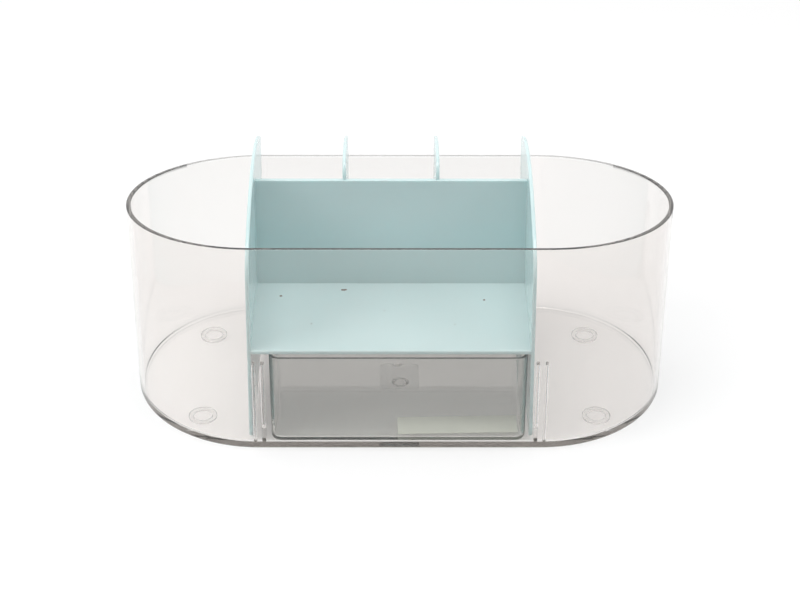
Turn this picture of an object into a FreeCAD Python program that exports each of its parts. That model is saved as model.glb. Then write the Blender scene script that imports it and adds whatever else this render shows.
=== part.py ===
# Makeup organizer: an oval clear bin, a pale insert that stands in it, and a small clear box.
# Millimetres, +Z up. The origin is the middle of the footprint on the surface it stands on.

import FreeCAD, Part
import math
import os
import Sketcher

DRIVING_SIZES = {
    # Clear bin, measured at its foot unless the name says otherwise
    "straight_length": 155.0,
    "end_radius": 71.8,
    "bin_wall": 2.5,
    "bin_floor": 3.0,
    "front_height": 128.4,
    "back_height": 105.0,
    "bin_draft": 0.345,
    "base_round": 1.8,
    "floor_round": 2.2,
    "rim_round": 0.35,
    # Ribs that make the upright slots for the insert
    "rib_height": 52.0,
    "rib_depth": 4.0,
    "rib_tip_round": 1.6,
    "inner_rib_width": 2.0,
    "outer_rib_width": 1.6,
    "inner_rib_gap": 0.5,
    "outer_rib_gap": 0.4,
    "rib_edge_round": 0.7,
    "rib_toe_depth": 8.0,
    "rib_toe_height": 8.0,
    # Moulding marks in the middle of the floor
    "gate_pad_width": 22.4,
    "gate_pad_length": 26.4,
    "gate_pad_depth": 0.3,
    "gate_pad_corner": 4.0,
    "gate_pad_back_shift": 3.7,
    # Ring feet under the floor
    "foot_outer": 7.8,
    "foot_inner": 5.2,
    "foot_height": 1.5,
    "foot_seat": 0.3,
    "foot_bevel": 0.3,
    "foot_inset": 19.5,
    "foot_angle": 51.6,
    # Insert
    "insert_over_straight": 1.0,
    "insert_front_gap": 2.8,
    "insert_back_gap": 0.6,
    "insert_peak": 134.3,
    "insert_lean": 0.6,
    "insert_shift": -4.9,
    "side_wall": 2.0,
    "crown_radius": 130.0,
    "crown_back": 3.0,
    "brow_radius": 20.0,
    "nape_round": 3.0,
    "heel_round": 6.0,
    "edge_round": 0.6,
    "deck_height": 58.8,
    "deck_thick": 2.2,
    "deck_nose_round": 1.0,
    "panel_front": 2.1,
    "panel_thick": 2.4,
    "panel_height": 124.4,
    "divider_thick": 2.0,
    "divider_place": 25.6,
    "divider_brow_round": 8.5,
    # Small clear box under the deck
    "box_side_room": 12.3,
    "box_depth": 50.6,
    "box_height": 55.4,
    "box_wall": 1.6,
    "box_floor": 2.0,
    "box_corner": 6.0,
    "box_draft": 0.25,
    "box_base_round": 2.2,
    "box_floor_round": 1.6,
    "box_rim_round": 0.5,
    "box_shift": -0.9,
    "box_front_gap": 0.7,
    # Blank paper strip on the floor of the small box
    "strip_length": 66.5,
    "strip_width": 15.5,
    "strip_thick": 0.25,
    "strip_turn": 1.6,
    "strip_end_gap": 0.2,
    "strip_front_gap": 2.2,
}

# Degrees
QUARTER_TURN = 90
HALF_TURN = 180

doc = FreeCAD.newDocument("MakeupOrganizer")
sheet = doc.addObject("Spreadsheet::Sheet", "sizes")
for row, (name, number) in enumerate(DRIVING_SIZES.items(), start=1):
    sheet.set(f"A{row}", name)
    sheet.set(f"B{row}", str(number))
    sheet.setAlias(f"B{row}", name)
doc.recompute()


class Measure:
    """A length or angle that keeps its number and its spreadsheet formula together."""

    def __init__(self, number, formula):
        self.number = number
        self.formula = formula

    def __add__(self, other):
        other = measure(other)
        return Measure(self.number + other.number, f"({self.formula} + {other.formula})")

    def __sub__(self, other):
        other = measure(other)
        return Measure(self.number - other.number, f"({self.formula} - {other.formula})")

    def __mul__(self, other):
        other = measure(other)
        return Measure(self.number * other.number, f"({self.formula} * {other.formula})")

    def __truediv__(self, other):
        other = measure(other)
        return Measure(self.number / other.number, f"({self.formula} / {other.formula})")

    def __neg__(self):
        return Measure(-self.number, f"(-1 * {self.formula})")


def measure(value):
    if isinstance(value, Measure):
        return value
    return Measure(float(value), repr(float(value)))


def size(name):
    return Measure(float(sheet.get(name)), f"sizes.{name}")


def tangent_of(angle):
    return Measure(math.tan(math.radians(angle.number)), f"tan({angle.formula} * 1 deg)")


def cosine_of(angle):
    return Measure(math.cos(math.radians(angle.number)), f"cos({angle.formula} * 1 deg)")


def sine_of(angle):
    return Measure(math.sin(math.radians(angle.number)), f"sin({angle.formula} * 1 deg)")


# Sizes worked out from the driving ones

half_straight = size("straight_length") / 2
foot_proud = size("foot_height") - size("foot_seat")
floor_top = foot_proud + size("bin_floor")
inner_radius = size("end_radius") - size("bin_wall")
middle_height = (size("front_height") + size("back_height")) / 2
rim_reach = size("end_radius") + tangent_of(size("bin_draft")) * middle_height
insert_half = half_straight + size("insert_over_straight") / 2
insert_front = inner_radius - size("insert_front_gap")
insert_back = inner_radius - size("insert_back_gap")
inner_rib_place = insert_half - size("side_wall") - size("inner_rib_gap") - size("inner_rib_width") / 2
outer_rib_place = insert_half + size("outer_rib_gap") + size("outer_rib_width") / 2
lean_slope = tangent_of(size("insert_lean"))
box_half = insert_half - size("side_wall") - size("box_side_room") / 2
box_back_shift = size("box_front_gap") + size("box_depth") / 2 - inner_radius


# Helpers for sketches and features

def new_body(name):
    body = doc.addObject("PartDesign::Body", name)
    body.Label = name
    return body


def place(thing, x=0, y=0, z=0):
    for axis, value in zip("xyz", (x, y, z)):
        value = measure(value)
        thing.setExpression(f"Placement.Base.{axis}", value.formula)


def origin_plane(body, role):
    for feature in body.Origin.OriginFeatures:
        if feature.Role == role:
            return feature
    raise ValueError(role)


def new_sketch(body, name, role, offset=0):
    sketch = body.newObject("Sketcher::SketchObject", name)
    sketch.AttachmentSupport = (origin_plane(body, role), [""])
    sketch.MapMode = "FlatFace"
    sketch.setExpression("AttachmentOffset.Base.z", measure(offset).formula)
    return sketch


def bind(sketch, kind, *places, to):
    to = measure(to)
    number = sketch.addConstraint(Sketcher.Constraint(kind, *places, to.number))
    sketch.setExpression(f"Constraints[{number}]", to.formula)


def pin(sketch, geometry, end, x, y):
    """Holds one end of a line or arc at a place, measured from the sketch's origin."""
    bind(sketch, "DistanceX", -1, 1, geometry, end, to=x)
    bind(sketch, "DistanceY", -1, 1, geometry, end, to=y)


def line_between(sketch, start, end):
    points = [FreeCAD.Vector(measure(x).number, measure(y).number, 0) for x, y in (start, end)]
    return sketch.addGeometry(Part.LineSegment(*points))


def polygon(sketch, corners):
    lines = [line_between(sketch, corners[i], corners[(i + 1) % len(corners)]) for i in range(len(corners))]
    for i, line in enumerate(lines):
        sketch.addConstraint(Sketcher.Constraint("Coincident", line, 2, lines[(i + 1) % len(lines)], 1))
    for line, (x, y) in zip(lines, corners):
        pin(sketch, line, 1, x, y)


def rectangle(sketch, x_low, x_high, y_low, y_high):
    polygon(sketch, [(x_low, y_low), (x_high, y_low), (x_high, y_high), (x_low, y_high)])


def arc(sketch, x, y, radius, start, end):
    centre = FreeCAD.Vector(measure(x).number, measure(y).number, 0)
    circle = Part.Circle(centre, FreeCAD.Vector(0, 0, 1), measure(radius).number)
    return sketch.addGeometry(Part.ArcOfCircle(circle, math.radians(start), math.radians(end)))


def rounded_rectangle(sketch, half_width, half_length, radius, x=0, y=0):
    """Four straight sides joined by quarter arcs, turned anticlockwise from the right side."""
    x, y = measure(x), measure(y)
    right, top = half_width - radius, half_length - radius
    centres = [(x + right, y + top), (x - right, y + top), (x - right, y - top), (x + right, y - top)]
    arcs = [arc(sketch, cx, cy, radius, QUARTER_TURN * i, QUARTER_TURN * (i + 1))
            for i, (cx, cy) in enumerate(centres)]
    leave = [(0, 1), (-1, 0), (0, -1), (1, 0)]
    sides = []
    for i, (across, up) in enumerate(leave):
        cx, cy = centres[i]
        nx, ny = centres[(i + 1) % 4]
        start = (cx + radius * across, cy + radius * up)
        end = (nx + radius * across, ny + radius * up)
        sides.append(line_between(sketch, start, end))
    for i in range(4):
        sketch.addConstraint(Sketcher.Constraint("Tangent", arcs[i], 2, sides[i], 1))
        sketch.addConstraint(Sketcher.Constraint("Tangent", sides[i], 2, arcs[(i + 1) % 4], 1))
        pin(sketch, arcs[i], 3, *centres[i])
    bind(sketch, "Radius", arcs[0], to=radius)


def stadium(sketch, half, radius):
    """Two straight sides joined by half circles."""
    right = arc(sketch, half, 0, radius, -QUARTER_TURN, QUARTER_TURN)
    left = arc(sketch, -half, 0, radius, QUARTER_TURN, QUARTER_TURN + HALF_TURN)
    back = line_between(sketch, (half, radius), (-half, radius))
    front = line_between(sketch, (-half, -radius), (half, -radius))
    for first, second in ((right, back), (back, left), (left, front), (front, right)):
        sketch.addConstraint(Sketcher.Constraint("Tangent", first, 2, second, 1))
    pin(sketch, right, 3, half, 0)
    pin(sketch, left, 3, -half, 0)
    bind(sketch, "Radius", right, to=radius)


def circle(sketch, x, y, radius):
    centre = FreeCAD.Vector(measure(x).number, measure(y).number, 0)
    ring = sketch.addGeometry(Part.Circle(centre, FreeCAD.Vector(0, 0, 1), measure(radius).number))
    pin(sketch, ring, 3, x, y)
    bind(sketch, "Radius", ring, to=radius)


def pad(body, sketch, name, length, taper=None, reverse=False):
    feature = body.newObject("PartDesign::Pad", name)
    feature.Profile = sketch
    feature.Reversed = reverse
    feature.setExpression("Length", measure(length).formula)
    if taper is not None:
        feature.setExpression("TaperAngle", taper.formula)
    doc.recompute()
    return feature


def pocket(body, sketch, name, depth=None, taper=None, reverse=False):
    """Cuts by a depth, or right through both ways where none is given."""
    before = body.Shape.Volume
    feature = body.newObject("PartDesign::Pocket", name)
    feature.Profile = sketch
    feature.Reversed = reverse
    if depth is None:
        feature.Type = "ThroughAll"
        feature.Midplane = True
    else:
        feature.setExpression("Length", measure(depth).formula)
    if taper is not None:
        feature.setExpression("TaperAngle", taper.formula)
    doc.recompute()
    if not body.Shape.Volume < before:
        raise RuntimeError(f"{name} cut nothing")
    return feature


def dress_edges(body, name, kind, quantity, value, chosen):
    """Works on the edges of the body's last feature for which chosen(edge) is true."""
    base = body.Tip
    names = [f"Edge{i}" for i, edge in enumerate(base.Shape.Edges, start=1) if chosen(edge)]
    if not names:
        raise RuntimeError(f"{name} found no edges")
    feature = body.newObject(kind, name)
    feature.Base = (base, names)
    feature.setExpression(quantity, value.formula)
    doc.recompute()


def round_edges(body, name, radius, chosen):
    dress_edges(body, name, "PartDesign::Fillet", "Radius", radius, chosen)


def bevel_edges(body, name, width, chosen):
    dress_edges(body, name, "PartDesign::Chamfer", "Size", width, chosen)


def near(first, second, within=0.02):
    return abs(first - second) < within


def level(edge, height):
    """True for an edge that lies wholly at one height."""
    return near(edge.BoundBox.ZMin, height) and near(edge.BoundBox.ZMax, height)


# Clear bin, in its own frame with its underside at zero

def make_clear_bin():
    body = new_body("clear_bin")
    draft = size("bin_draft")
    tall = size("front_height") + size("bin_wall")

    outline = new_sketch(body, "bin_outline", "XY_Plane")
    stadium(outline, half_straight, size("end_radius"))
    pad(body, outline, "bin_block", tall, taper=draft)

    hollow = new_sketch(body, "bin_hollow_outline", "XY_Plane", size("bin_floor"))
    stadium(hollow, half_straight, inner_radius)
    pocket(body, hollow, "bin_hollow", tall, taper=draft, reverse=True)

    round_edges(body, "bin_floor_round", size("floor_round"),
                lambda edge: level(edge, size("bin_floor").number))
    round_edges(body, "bin_base_round", size("base_round"), lambda edge: level(edge, 0))
    add_rib_toes(body)
    add_ribs(body)
    cut_gate_pad(body)
    cut_foot_seats(body)
    cut_rim(body)
    place(body, z=foot_proud)
    return body


def rib_sketch(body, name, ribs, depth):
    """One rectangle for each rib, from inside the wall to its tip."""
    sketch = new_sketch(body, name, "XY_Plane", size("bin_floor") / 2)
    tip = inner_radius - depth
    root = inner_radius + size("bin_wall") / 2
    for rib_place, width in ribs:
        for side in (-1, 1):
            middle = rib_place * side
            low, high = middle - width / 2, middle + width / 2
            rectangle(sketch, low, high, -root, -tip)
            rectangle(sketch, low, high, tip, root)
    return sketch


def add_ribs(body):
    inner = (inner_rib_place, size("inner_rib_width"))
    outer = (outer_rib_place, size("outer_rib_width"))
    sketch = rib_sketch(body, "rib_outlines", [inner, outer], size("rib_depth"))
    pad(body, sketch, "ribs", size("rib_height") + size("bin_floor") / 2)
    top = size("bin_floor").number + size("rib_height").number
    tip = inner_radius.number - size("rib_depth").number
    round_edges(body, "rib_tips", size("rib_tip_round"),
                lambda edge: level(edge, top) and near(abs(edge.CenterOfMass.y), tip))
    round_edges(body, "rib_edges", size("rib_edge_round"),
                lambda edge: near(abs(edge.CenterOfMass.y), tip) and near(edge.BoundBox.XLength, 0)
                and near(edge.BoundBox.YLength, 0))


def add_rib_toes(body):
    """The inner ribs stand on a low toe that reaches further over the floor."""
    inner = (inner_rib_place, size("inner_rib_width"))
    sketch = rib_sketch(body, "rib_toe_outlines", [inner], size("rib_toe_depth"))
    pad(body, sketch, "rib_toes", size("rib_toe_height") + size("bin_floor") / 2)


def cut_gate_pad(body):
    sketch = new_sketch(body, "gate_pad_outline", "XY_Plane", size("bin_floor"))
    rounded_rectangle(sketch, size("gate_pad_width") / 2, size("gate_pad_length") / 2,
                      size("gate_pad_corner"), y=-size("gate_pad_back_shift"))
    pocket(body, sketch, "gate_pad", size("gate_pad_depth"))


def foot_places():
    """Each foot is set in from the round end wall, along a line from the end's centre."""
    reach = size("end_radius") - size("foot_inset")
    out = half_straight + reach * cosine_of(size("foot_angle"))
    along = reach * sine_of(size("foot_angle"))
    for side, left_or_right in (("left", -1), ("right", 1)):
        for end, front_or_back in (("front", -1), ("back", 1)):
            yield f"{end}_{side}", out * left_or_right, along * front_or_back


def cut_foot_seats(body):
    sketch = new_sketch(body, "foot_seat_outlines", "XY_Plane")
    for _, x, y in foot_places():
        circle(sketch, x, y, size("foot_outer"))
        circle(sketch, x, y, size("foot_inner"))
    pocket(body, sketch, "foot_seats", size("foot_seat"), reverse=True)


def cut_rim(body):
    """The rim slopes in one plane from the tall front wall down to the back wall."""
    sketch = new_sketch(body, "rim_side_view", "YZ_Plane")
    reach = rim_reach
    fall = (size("front_height") - size("back_height")) / 2
    above = size("front_height") + size("end_radius")
    polygon(sketch, [(-reach * 2, size("front_height") + fall), (reach * 2, size("back_height") - fall),
                     (reach * 2, above), (-reach * 2, above)])
    pocket(body, sketch, "rim_cut")
    slope = (size("front_height").number - size("back_height").number) / (2 * reach.number)

    def on_rim(edge):
        centre = edge.CenterOfMass
        return near(centre.z, middle_height.number - slope * centre.y, 0.05)

    round_edges(body, "rim_round", size("rim_round"), on_rim)


# Insert, in its own frame with its feet at zero

def make_insert():
    body = new_body("divider_insert")
    depth = insert_front + insert_back
    deck_half = insert_half - size("side_wall") / 2 - lean_slope * size("deck_height")

    deck = new_sketch(body, "deck_outline", "XY_Plane", size("deck_height") - size("deck_thick"))
    rectangle(deck, -deck_half, deck_half, -insert_front, insert_back)
    pad(body, deck, "deck", size("deck_thick"))

    for side, name in ((-1, "left"), (1, "right")):
        wall = new_sketch(body, f"{name}_wall_section", "XZ_Plane", insert_front)
        top = insert_half - lean_slope * size("insert_peak")
        polygon(wall, [(insert_half * side, 0), (top * side, size("insert_peak")),
                       ((top - size("side_wall")) * side, size("insert_peak")),
                       ((insert_half - size("side_wall")) * side, 0)])
        pad(body, wall, f"{name}_wall", depth, reverse=True)

    dividers = new_sketch(body, "divider_outlines", "XY_Plane", size("deck_height") - size("deck_thick") / 2)
    for side in (-1, 1):
        middle = size("divider_place") * side
        rectangle(dividers, middle - size("divider_thick") / 2, middle + size("divider_thick") / 2,
                  size("panel_front") + size("panel_thick") / 2, insert_back)
    divider_height = size("insert_peak") - size("deck_height") + size("deck_thick") / 2
    pad(body, dividers, "dividers", divider_height)

    panel = new_sketch(body, "panel_outline", "XY_Plane", size("deck_height") - size("deck_thick") / 2)
    panel_half = insert_half - size("side_wall") / 2 - lean_slope * size("panel_height")
    rectangle(panel, -panel_half, panel_half, size("panel_front"), size("panel_front") + size("panel_thick"))
    pad(body, panel, "mid_panel", size("panel_height") - size("deck_height") + size("deck_thick") / 2)

    cut_crown(body)
    round_edges(body, "divider_brows", size("divider_brow_round"), is_divider_front_top)
    round_edges(body, "deck_nose", size("deck_nose_round"),
                lambda edge: level(edge, size("deck_height").number)
                and near(edge.CenterOfMass.y, -insert_front.number))
    round_edges(body, "heels", size("heel_round"),
                lambda edge: level(edge, 0) and near(edge.BoundBox.YLength, 0)
                and edge.BoundBox.XLength > size("side_wall").number / 2)
    round_plate_edges(body)
    place(body, x=size("insert_shift"), z=floor_top)
    return body


def cut_crown(body):
    """The side walls and dividers share one side view: a long crown arc that turns
    down over a tighter brow into the upright front edge."""
    sketch = new_sketch(body, "crown_side_view", "YZ_Plane")
    crown, brow = size("crown_radius"), size("brow_radius")
    crown_height = size("insert_peak") - crown
    brow_middle = brow - insert_front
    beyond = size("bin_wall") * 2
    back = insert_back + beyond

    offset = size("crown_back").number - brow_middle.number
    rise = math.sqrt((crown.number - brow.number) ** 2 - offset ** 2)
    turn = math.degrees(math.atan2(rise, -offset))
    back_reach = back.number - size("crown_back").number
    back_turn = math.degrees(math.acos(back_reach / crown.number))
    brow_height = crown_height.number + rise
    back_height = crown_height.number + crown.number * math.sin(math.radians(back_turn))
    top = size("insert_peak") + beyond

    crown_arc = arc(sketch, size("crown_back"), crown_height, crown, back_turn, turn)
    brow_arc = arc(sketch, brow_middle, brow_height, brow, turn, HALF_TURN)
    step = line_between(sketch, (-insert_front, brow_height), (-insert_front - beyond, brow_height))
    front = line_between(sketch, (-insert_front - beyond, brow_height), (-insert_front - beyond, top))
    lid = line_between(sketch, (-insert_front - beyond, top), (back, top))
    rear = line_between(sketch, (back, top), (back, back_height))
    sketch.addConstraint(Sketcher.Constraint("Tangent", crown_arc, 2, brow_arc, 1))
    chain = [(brow_arc, 2, step, 1), (step, 2, front, 1), (front, 2, lid, 1), (lid, 2, rear, 1),
             (rear, 2, crown_arc, 1)]
    for joint in chain:
        sketch.addConstraint(Sketcher.Constraint("Coincident", *joint))
    for line, kind in ((step, "Horizontal"), (front, "Vertical"), (lid, "Horizontal"), (rear, "Vertical")):
        sketch.addConstraint(Sketcher.Constraint(kind, line))
    pin(sketch, crown_arc, 3, size("crown_back"), crown_height)
    bind(sketch, "Radius", crown_arc, to=crown)
    bind(sketch, "Radius", brow_arc, to=brow)
    bind(sketch, "DistanceX", -1, 1, brow_arc, 3, to=brow_middle)
    sketch.addConstraint(Sketcher.Constraint("Horizontal", brow_arc, 2, brow_arc, 3))
    pin(sketch, lid, 1, -insert_front - beyond, top)
    bind(sketch, "DistanceX", -1, 1, rear, 1, to=back)
    pocket(body, sketch, "crown_cut")


def is_divider_front_top(edge):
    front = (size("panel_front") + size("panel_thick") / 2).number
    across = near(edge.BoundBox.XLength, size("divider_thick").number)
    return across and near(edge.CenterOfMass.y, front) and edge.CenterOfMass.z > size("panel_height").number


def round_plate_edges(body):
    """Rounds the back top corners of the plates, then softens the long edges of their crowns."""
    back_top = []
    for edge in body.Tip.Shape.Edges:
        box = edge.BoundBox
        if near(box.YMin, insert_back.number) and near(box.YLength, 0) and near(box.ZLength, 0):
            if box.ZMin > size("panel_height").number / 2:
                back_top.append(edge.CenterOfMass)

    def is_nape(edge):
        return any(near(edge.CenterOfMass.distanceToPoint(point), 0) for point in back_top)

    round_edges(body, "napes", size("nape_round"), is_nape)

    def is_crown_edge(edge):
        return edge.Length > size("brow_radius").number and edge.Curve.TypeId == "Part::GeomEllipse" or (
            edge.Curve.TypeId == "Part::GeomCircle" and near(edge.Curve.Radius, size("crown_radius").number))

    round_edges(body, "crown_edges", size("edge_round"), is_crown_edge)


# Small clear box, in its own frame with its underside at zero

def make_small_box():
    body = new_body("small_clear_box")
    draft = size("box_draft")
    half_width, half_depth = box_half, size("box_depth") / 2

    outline = new_sketch(body, "box_outline", "XY_Plane")
    rounded_rectangle(outline, half_width, half_depth, size("box_corner"))
    pad(body, outline, "box_block", size("box_height"), taper=draft)

    hollow = new_sketch(body, "box_hollow_outline", "XY_Plane", size("box_floor"))
    rounded_rectangle(hollow, half_width - size("box_wall"), half_depth - size("box_wall"),
                      size("box_corner") - size("box_wall"))
    pocket(body, hollow, "box_hollow", size("box_height"), taper=draft, reverse=True)

    round_edges(body, "box_floor_round", size("box_floor_round"),
                lambda edge: level(edge, size("box_floor").number))
    round_edges(body, "box_base_round", size("box_base_round"), lambda edge: level(edge, 0))
    round_edges(body, "box_rim_round", size("box_rim_round"),
                lambda edge: level(edge, size("box_height").number))
    place(body, x=size("box_shift"), y=box_back_shift, z=floor_top)
    return body


def make_paper_strip():
    strip = doc.addObject("Part::Box", "paper_strip")
    strip.Label = "paper_strip"
    for side, name in (("Length", "strip_length"), ("Width", "strip_width"), ("Height", "strip_thick")):
        strip.setExpression(side, size(name).formula)
    turn = size("strip_turn").number
    strip.Placement.Rotation = FreeCAD.Rotation(FreeCAD.Vector(0, 0, 1), turn)
    strip.setExpression("Placement.Rotation.Angle", size("strip_turn").formula)
    flat_edge = size("box_wall") + size("box_floor_round")
    right_edge = size("box_shift") + box_half - flat_edge - size("strip_end_gap")
    front_edge = box_back_shift - size("box_depth") / 2 + flat_edge + size("strip_front_gap")
    place(strip, x=right_edge - size("strip_length"), y=front_edge, z=floor_top + size("box_floor"))
    return strip


# Ring feet

def make_ring_foot(name, x, y):
    body = new_body(f"ring_foot_{name}")
    sketch = new_sketch(body, f"ring_outline_{name}", "XY_Plane")
    circle(sketch, 0, 0, size("foot_outer"))
    circle(sketch, 0, 0, size("foot_inner"))
    pad(body, sketch, f"ring_{name}", size("foot_height"))
    bevel_edges(body, f"ring_bevel_{name}", size("foot_bevel"), lambda edge: level(edge, 0))
    place(body, x=x, y=y)
    return body


def check(thing):
    if thing.Shape.isNull() or not thing.Shape.isValid() or len(thing.Shape.Solids) != 1:
        raise RuntimeError(f"{thing.Label} is not one sound solid")


sub_parts = [make_clear_bin(), make_insert(), make_small_box(), make_paper_strip()]
sub_parts += [make_ring_foot(name, x, y) for name, x, y in foot_places()]
doc.recompute()

for thing in doc.Objects:
    if "Invalid" in thing.State or "Error" in thing.State:
        raise RuntimeError(f"{thing.Name} failed: {thing.State}")
for thing in sub_parts:
    check(thing)

os.makedirs("parts", exist_ok=True)
for thing in sub_parts:
    thing.Shape.exportStep(f"parts/{thing.Label}.step")
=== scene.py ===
# Looks of the makeup organizer: clear bin, pale insert, small clear box, paper strip and ring feet.
# Metres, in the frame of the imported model: +X to the right, +Y to the back, +Z up.
import math

import bpy
from mathutils import Matrix, Vector


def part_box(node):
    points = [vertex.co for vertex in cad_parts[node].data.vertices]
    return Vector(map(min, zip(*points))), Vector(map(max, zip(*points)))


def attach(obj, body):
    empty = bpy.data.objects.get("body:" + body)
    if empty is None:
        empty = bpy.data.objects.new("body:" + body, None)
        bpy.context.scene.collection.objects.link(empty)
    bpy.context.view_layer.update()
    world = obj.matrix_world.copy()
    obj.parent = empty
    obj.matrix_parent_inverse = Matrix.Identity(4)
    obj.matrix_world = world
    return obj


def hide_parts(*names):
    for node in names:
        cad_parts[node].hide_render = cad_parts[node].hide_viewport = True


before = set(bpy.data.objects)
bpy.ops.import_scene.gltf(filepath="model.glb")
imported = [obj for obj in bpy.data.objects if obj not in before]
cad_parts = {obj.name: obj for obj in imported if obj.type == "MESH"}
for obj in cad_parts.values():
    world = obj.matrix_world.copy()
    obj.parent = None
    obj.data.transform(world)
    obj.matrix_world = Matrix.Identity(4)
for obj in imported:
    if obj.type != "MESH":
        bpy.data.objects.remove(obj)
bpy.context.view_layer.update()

# Camera
CAMERA_PLACE = (-0.00511, -1.06312, 0.72944)
CAMERA_PITCH = 0.567
CAMERA_TURN = -0.005
CAMERA_ROLL = 0.003
SENSOR_WIDTH = 36.0
LENS = 100.37


def make_camera():
    data = bpy.data.cameras.new("camera")
    data.sensor_fit = "HORIZONTAL"
    data.sensor_width = SENSOR_WIDTH
    data.lens = LENS
    camera = bpy.data.objects.new("camera", data)
    turn = Matrix.Rotation(CAMERA_TURN, 4, "Z")
    tip = Matrix.Rotation(math.pi / 2 - CAMERA_PITCH, 4, "X")
    roll = Matrix.Rotation(CAMERA_ROLL, 4, "Z")
    camera.matrix_world = Matrix.Translation(CAMERA_PLACE) @ turn @ tip @ roll
    bpy.context.collection.objects.link(camera)
    bpy.context.scene.camera = camera


# How much smaller on each side the pieces that touch clear plastic are shown
AIR_GAP = 0.00006

# Index of refraction of all the plastics
PLASTIC_IOR = 1.5

# Clear plastics: tint of the surface, tint that lamp light takes on at each surface,
# tint and density of the body
BIN_LOOK = ((0.948, 0.928, 0.915), (0.972, 0.979, 0.983), (0.905, 0.9, 0.895), 98)
# The box's grey body tint is partly painted shade: beside the plastic's own tint it darkens the box
# to the shade of the bay under the deck
BOX_LOOK_AND_SHADE = ((1, 1, 1), (1, 1, 1), (0.66, 0.695, 0.665), 165)
FOOT_LOOK = ((1, 1, 1), (0.9, 0.9, 0.9), (0.8, 0.8, 0.8), 150)
POLISHED = (0.0, 0.01)
SOFT_MATT = (0.1, 0.2)

# Mint plastic, paper and the specks on the deck, as middle x and y with a radius
MINT_DARKER = (0.555, 0.69, 0.695)
MINT_PALER = (0.575, 0.71, 0.715)
MINT_GLOSS = (0.12, 0.18)
PAPER_COLOUR = (0.95, 0.96, 0.86)
# Painted light: the paper strip glows faintly in its own colour, standing in for light that hardly
# reaches it under the deck
PAPER_PAINTED_GLOW = 0.1
SPECK_COLOUR = (0.16, 0.09, 0.06)
SPECKS = [(-0.0663, -0.0113, 0.0008), (-0.0321, -0.0050, 0.0008), (-0.0311, -0.0050, 0.0009),
          (-0.0302, -0.0048, 0.0007), (0.0469, -0.0154, 0.0007), (-0.0085, -0.0262, 0.0004),
          (0.0301, -0.0402, 0.0004), (-0.0484, -0.0397, 0.0004)]

# Moulding marks in the bin's floor: the pad's middle and half size along each axis, the
# roughness that it adds, its milky share, the ring's middle, radius and line width, the dot's
# middle and radius, and the height of both
PAD = (("X", 0.0, 0.0112), ("Y", -0.0037, 0.0132))
PAD_FROST = 0.22
PAD_MILK = 0.05
RING_MARK = (0.0005, -0.008, 0.0038, 0.0011)
DOT_MARK = (-0.001, 0.0095, 0.003)
MARK_HEIGHT = 0.0006

# The sloping rim: its rise for each metre towards the front, its lower edge at the middle,
# its place at the back, and the share of its edge made see-through there, a painted highlight in
# place of the bright light the rim mirrors at the back
RIM_SLOPE = 0.161
RIM_LEVEL = 0.1168
RIM_BACK = 0.0725
RIM_PAINTED_HIGHLIGHT = 0.5

# Studio: floor, the share of the floor that glows near the object and far from it,
# the room's light from front to back and from left to right, and what mirrors show of it
FLOOR_COLOUR = (0.87, 0.87, 0.87)
FLOOR_REACH = 4.0
GLOW_NEAR, GLOW_FAR = 0.35, 1.0
NEAR_DISTANCE, FAR_DISTANCE = 0.5, 1.1
ROOM_FRONT, ROOM_BACK = 0.14, 1.06
ROOM_LEFT, ROOM_RIGHT = 1.1, 0.9
MIRRORED_ROOM = 0.78

# Soft boxes, all aimed at the middle of the footprint: place, width, height and watts
SOFT_BOXES = {
    "softbox_left": ((-1.45, -0.5, 1.25), 1.0, 1.0, 15),
    "softbox_right": ((1.45, -0.5, 1.3), 1.0, 1.0, 10),
    "softbox_top": ((0, -0.25, 1.8), 1.0, 0.7, 12),
}


# Shader helpers

def new_material(name):
    material = bpy.data.materials.new(name)
    material.use_nodes = True
    material.node_tree.nodes.clear()
    return material, material.node_tree.nodes, material.node_tree.links


def axes_of(nodes, links, coordinate="Object"):
    """The X, Y and Z of each point of the object, or of each direction of the world."""
    place = nodes.new("ShaderNodeTexCoord")
    split = nodes.new("ShaderNodeSeparateXYZ")
    links.new(place.outputs[coordinate], split.inputs[0])
    return split.outputs


def object_noise(nodes, links, scale, detail=4.0):
    place = nodes.new("ShaderNodeTexCoord")
    noise = nodes.new("ShaderNodeTexNoise")
    noise.inputs["Scale"].default_value = scale
    noise.inputs["Detail"].default_value = detail
    links.new(place.outputs["Object"], noise.inputs["Vector"])
    return noise.outputs["Fac"]


def remap(nodes, links, source, low, high, from_low=0.0, from_high=1.0):
    node = nodes.new("ShaderNodeMapRange")
    node.inputs["From Min"].default_value = from_low
    node.inputs["From Max"].default_value = from_high
    node.inputs["To Min"].default_value = low
    node.inputs["To Max"].default_value = high
    links.new(source, node.inputs["Value"])
    return node.outputs["Result"]


def calculate(nodes, links, operation, *terms):
    node = nodes.new("ShaderNodeMath")
    node.operation = operation
    for socket, term in zip(node.inputs, terms):
        if isinstance(term, (int, float)):
            socket.default_value = term
        else:
            links.new(term, socket)
    return node.outputs[0]


def mix_colours(nodes, links, share, first, second):
    node = nodes.new("ShaderNodeMix")
    node.data_type = "RGBA"
    links.new(share, node.inputs["Factor"])
    ends = [socket for socket in node.inputs if socket.type == "RGBA"]
    for socket, colour in zip(ends, (first, second)):
        if isinstance(colour, tuple):
            socket.default_value = (*colour, 1)
        else:
            links.new(colour, socket)
    return next(socket for socket in node.outputs if socket.type == "RGBA")


def mix_shaders(nodes, links, share, first, second):
    node = nodes.new("ShaderNodeMixShader")
    links.new(share, node.inputs[0])
    links.new(first, node.inputs[1])
    links.new(second, node.inputs[2])
    return node.outputs[0]


def straight_through(nodes, tint=(1, 1, 1)):
    clear = nodes.new("ShaderNodeBsdfTransparent")
    clear.inputs["Color"].default_value = (*tint, 1)
    return clear.outputs[0]


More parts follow.
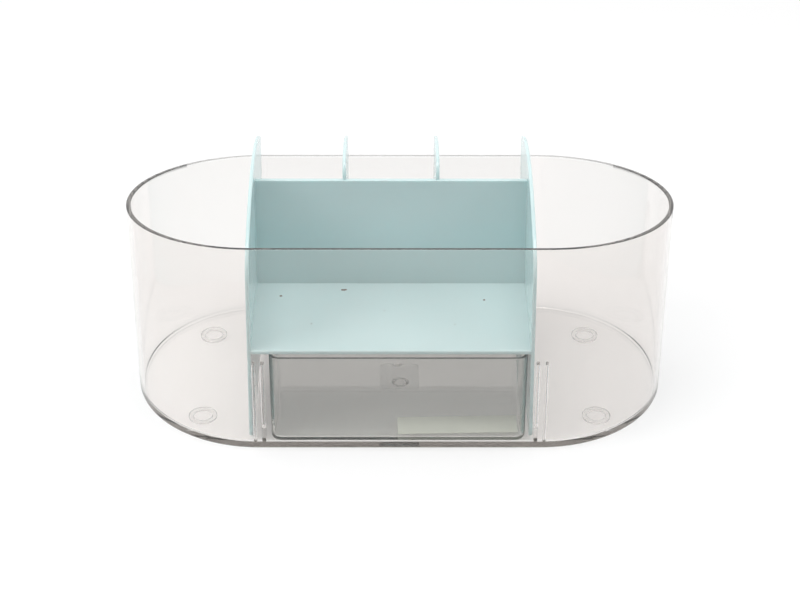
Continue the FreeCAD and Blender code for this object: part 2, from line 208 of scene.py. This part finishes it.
def finish_surface(nodes, links, shader):
    output = nodes.new("ShaderNodeOutputMaterial")
    links.new(shader, output.inputs["Surface"])
    return output


def bump(nodes, links, height, strength, distance):
    node = nodes.new("ShaderNodeBump")
    node.inputs["Strength"].default_value = strength
    node.inputs["Distance"].default_value = distance
    links.new(height, node.inputs["Height"])
    return node.outputs["Normal"]


def clear_plastic(name, look, rough, marks=None, painted_highlight=None):
    """Plastic that bends light, and darkens and tints it more the further it goes inside.
    Lamp light goes straight through it, so its shadow is pale. The marks, where there are
    some, say where it is frosted and give a height, and the last argument, where given, says where it
    is made partly see-through as a painted highlight."""
    tint, shadow_tint, body_tint, density = look
    material, nodes, links = new_material(name)
    shader = nodes.new("ShaderNodeBsdfPrincipled")
    shader.inputs["Base Color"].default_value = (*tint, 1)
    shader.inputs["Transmission Weight"].default_value = 1.0
    shader.inputs["IOR"].default_value = PLASTIC_IOR
    haze = object_noise(nodes, links, scale=60)
    roughness = remap(nodes, links, haze, *rough)
    if marks:
        frosted, height = marks(nodes, links)
        roughness = calculate(nodes, links, "MULTIPLY_ADD", frosted, PAD_FROST, roughness)
        clear = calculate(nodes, links, "MULTIPLY_ADD", frosted, -PAD_MILK, 1.0)
        links.new(clear, shader.inputs["Transmission Weight"])
        relief = bump(nodes, links, height, strength=1.0, distance=MARK_HEIGHT)
        links.new(relief, shader.inputs["Normal"])
    links.new(roughness, shader.inputs["Roughness"])
    surface = shader.outputs[0]
    # Painted highlight: where that mask is, the surface is partly see-through, so the rim's edge
    # shows light instead of its dark line
    if painted_highlight:
        surface = mix_shaders(nodes, links, painted_highlight(nodes, links), surface, straight_through(nodes))
    path = nodes.new("ShaderNodeLightPath")
    surface = mix_shaders(nodes, links, path.outputs["Is Shadow Ray"], surface,
                          straight_through(nodes, shadow_tint))
    inside = nodes.new("ShaderNodeVolumeAbsorption")
    inside.inputs["Color"].default_value = (*body_tint, 1)
    inside.inputs["Density"].default_value = density
    links.new(inside.outputs[0], finish_surface(nodes, links, surface).inputs["Volume"])
    return material


def flat_distance(nodes, links, x, y):
    """How far each point is from the upright line through x and y."""
    place = nodes.new("ShaderNodeTexCoord")
    flat = nodes.new("ShaderNodeVectorMath")
    flat.operation = "MULTIPLY"
    flat.inputs[1].default_value = (1, 1, 0)
    links.new(place.outputs["Object"], flat.inputs[0])
    apart = nodes.new("ShaderNodeVectorMath")
    apart.operation = "DISTANCE"
    apart.inputs[1].default_value = (x, y, 0)
    links.new(flat.outputs[0], apart.inputs[0])
    return apart.outputs["Value"]


def ridge(nodes, links, offset, width):
    """One where the offset is nothing, falling to nothing at the given width."""
    away = calculate(nodes, links, "ABSOLUTE", offset)
    share = calculate(nodes, links, "DIVIDE", away, width)
    height = calculate(nodes, links, "SUBTRACT", 1.0, share)
    return calculate(nodes, links, "MAXIMUM", height, 0.0)


def gate_marks(nodes, links):
    """A lightly frosted pad in the middle of the floor, with a ring and a dot in it."""
    axes = axes_of(nodes, links)
    pad = 1.0
    for axis, middle, half in PAD:
        offset = calculate(nodes, links, "SUBTRACT", axes[axis], middle)
        away = calculate(nodes, links, "ABSOLUTE", offset)
        inside = calculate(nodes, links, "LESS_THAN", away, half)
        pad = calculate(nodes, links, "MULTIPLY", inside, pad)
    x, y, radius, width = RING_MARK
    off_ring = calculate(nodes, links, "SUBTRACT", flat_distance(nodes, links, x, y), radius)
    ring = ridge(nodes, links, off_ring, width)
    x, y, radius = DOT_MARK
    dot = ridge(nodes, links, flat_distance(nodes, links, x, y), radius)
    return pad, calculate(nodes, links, "ADD", ring, dot)


def painted_rim_highlight(nodes, links):
    """Painted highlight: the share of the rim's edge made see-through, so it shows no dark line,
    growing towards the back in place of the bright light the rim mirrors there.
    """
    axes = axes_of(nodes, links)
    level = calculate(nodes, links, "MULTIPLY_ADD", axes["Y"], RIM_SLOPE, axes["Z"])
    at_rim = calculate(nodes, links, "GREATER_THAN", level, RIM_LEVEL)
    towards_back = remap(nodes, links, axes["Y"], 0.0, RIM_PAINTED_HIGHLIGHT, from_low=0.0, from_high=RIM_BACK)
    return calculate(nodes, links, "MULTIPLY", at_rim, towards_back)


def mint_plastic():
    material, nodes, links = new_material("mint_plastic")
    shader = nodes.new("ShaderNodeBsdfPrincipled")
    tone = object_noise(nodes, links, scale=25)
    plain = mix_colours(nodes, links, tone, MINT_DARKER, MINT_PALER)
    specks = 0.0
    for x, y, radius in SPECKS:
        here = calculate(nodes, links, "LESS_THAN", flat_distance(nodes, links, x, y), radius)
        specks = calculate(nodes, links, "MAXIMUM", here, specks)
    colour = mix_colours(nodes, links, specks, plain, SPECK_COLOUR)
    links.new(colour, shader.inputs["Base Color"])
    shader.inputs["IOR"].default_value = PLASTIC_IOR
    shader.inputs["Subsurface Weight"].default_value = 0.4
    shader.inputs["Subsurface Radius"].default_value = (0.8, 1.0, 1.0)
    shader.inputs["Subsurface Scale"].default_value = 0.003
    haze = object_noise(nodes, links, scale=90)
    links.new(remap(nodes, links, haze, *MINT_GLOSS), shader.inputs["Roughness"])
    grain = object_noise(nodes, links, scale=1800, detail=2.0)
    relief = bump(nodes, links, grain, strength=0.06, distance=0.0002)
    links.new(relief, shader.inputs["Normal"])
    finish_surface(nodes, links, shader.outputs[0])
    return material


def paper():
    material, nodes, links = new_material("paper")
    shader = nodes.new("ShaderNodeBsdfPrincipled")
    shader.inputs["Base Color"].default_value = (*PAPER_COLOUR, 1)
    shader.inputs["Roughness"].default_value = 0.8
    # Painted light: a faint glow in the paper's own colour, though the strip is no lamp
    shader.inputs["Emission Color"].default_value = (*PAPER_COLOUR, 1)
    shader.inputs["Emission Strength"].default_value = PAPER_PAINTED_GLOW
    fibre = object_noise(nodes, links, scale=1500, detail=5.0)
    relief = bump(nodes, links, fibre, strength=0.3, distance=0.0002)
    links.new(relief, shader.inputs["Normal"])
    finish_surface(nodes, links, shader.outputs[0])
    return material


# Pieces

def dress(node, material):
    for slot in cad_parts[node].material_slots:
        slot.material = material


def with_air_gap(node, body, material):
    """Pieces that touch clear plastic show the film of air between them, so each of them is
    a hair smaller than its solid."""
    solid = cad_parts[node]
    low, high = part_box(node)
    middle = (low + high) / 2
    mesh = solid.data.copy()
    for vertex in mesh.vertices:
        for axis in range(3):
            half = (high - low)[axis] / 2
            offset = vertex.co[axis] - middle[axis]
            vertex.co[axis] = middle[axis] + offset * (half - AIR_GAP) / half
    piece = bpy.data.objects.new(node + "_shown", mesh)
    bpy.context.collection.objects.link(piece)
    for slot in piece.material_slots:
        slot.material = material
    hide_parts(node)
    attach(piece, body)


# Studio

def seen_directly(nodes, links):
    """One for what the camera sees, straight or through clear plastic, a little less for what
    it sees mirrored, and nothing for light that falls on something."""
    path = nodes.new("ShaderNodeLightPath")
    total = path.outputs["Is Camera Ray"]
    mirrored = calculate(nodes, links, "MULTIPLY", path.outputs["Is Glossy Ray"], MIRRORED_ROOM)
    for ray in (mirrored, path.outputs["Is Transmission Ray"]):
        total = calculate(nodes, links, "MAXIMUM", total, ray)
    lights_something = calculate(nodes, links, "GREATER_THAN", path.outputs["Diffuse Depth"], 0.5)
    return calculate(nodes, links, "SUBTRACT", total, lights_something)


def make_floor():
    """A pale matt floor that turns to plain white further away from the object."""
    mesh = bpy.data.meshes.new("floor")
    corners = [(x * FLOOR_REACH, y * FLOOR_REACH, 0) for x, y in ((-1, -1), (1, -1), (1, 1), (-1, 1))]
    mesh.from_pydata(corners, [], [(0, 1, 2, 3)])
    floor = bpy.data.objects.new("floor", mesh)
    bpy.context.collection.objects.link(floor)
    material, nodes, links = new_material("floor")
    matt = nodes.new("ShaderNodeBsdfDiffuse")
    matt.inputs["Color"].default_value = (*FLOOR_COLOUR, 1)
    glow = nodes.new("ShaderNodeEmission")
    glow.inputs["Strength"].default_value = 1.0
    seen = calculate(nodes, links, "MAXIMUM", seen_directly(nodes, links), 0.0)
    distance = flat_distance(nodes, links, 0, 0)
    glow_share = remap(nodes, links, distance, GLOW_NEAR, GLOW_FAR, NEAR_DISTANCE, FAR_DISTANCE)
    share = calculate(nodes, links, "MULTIPLY", seen, glow_share)
    surface = mix_shaders(nodes, links, share, matt.outputs[0], glow.outputs[0])
    finish_surface(nodes, links, surface)
    mesh.materials.append(material)


def make_world():
    """A white room that gives less light from the front than from the back, and a little less
    from the right than from the left."""
    world = bpy.data.worlds.new("studio")
    bpy.context.scene.world = world
    world.use_nodes = True
    nodes, links = world.node_tree.nodes, world.node_tree.links
    nodes.clear()
    axes = axes_of(nodes, links, "Generated")
    depth = remap(nodes, links, axes["Y"], ROOM_FRONT, ROOM_BACK, from_low=-1.0, from_high=1.0)
    across = remap(nodes, links, axes["X"], ROOM_LEFT, ROOM_RIGHT, from_low=-1.0, from_high=1.0)
    room_light = calculate(nodes, links, "MULTIPLY", depth, across)
    strength = calculate(nodes, links, "MAXIMUM", room_light, seen_directly(nodes, links))
    room = nodes.new("ShaderNodeBackground")
    room.inputs["Color"].default_value = (1, 1, 1, 1)
    links.new(strength, room.inputs["Strength"])
    output = nodes.new("ShaderNodeOutputWorld")
    links.new(room.outputs[0], output.inputs["Surface"])


def soft_box(name, place, width, height, power):
    data = bpy.data.lights.new(name, "AREA")
    data.shape = "RECTANGLE"
    data.size = width
    data.size_y = height
    data.energy = power
    lamp = bpy.data.objects.new(name, data)
    bpy.context.collection.objects.link(lamp)
    lamp.rotation_euler = (-Vector(place)).to_track_quat("-Z", "Y").to_euler()
    lamp.location = place
    lamp.visible_transmission = False


make_camera()
make_floor()
make_world()
for name, settings in SOFT_BOXES.items():
    soft_box(name, *settings)

dress("clear_bin", clear_plastic("bin_plastic", BIN_LOOK, POLISHED, gate_marks, painted_rim_highlight))
with_air_gap("small_clear_box", "small_box", clear_plastic("box_plastic", BOX_LOOK_AND_SHADE, POLISHED))
with_air_gap("divider_insert", "insert", mint_plastic())
dress("paper_strip", paper())
foot_plastic = clear_plastic("foot_plastic", FOOT_LOOK, SOFT_MATT)
for name in list(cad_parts):
    if name.startswith("ring_foot"):
        with_air_gap(name, "bin", foot_plastic)

scene = bpy.context.scene
scene.view_settings.view_transform = "Standard"
scene.cycles.max_bounces = 40
scene.cycles.transmission_bounces = 40
scene.cycles.glossy_bounces = 24
scene.cycles.transparent_max_bounces = 24
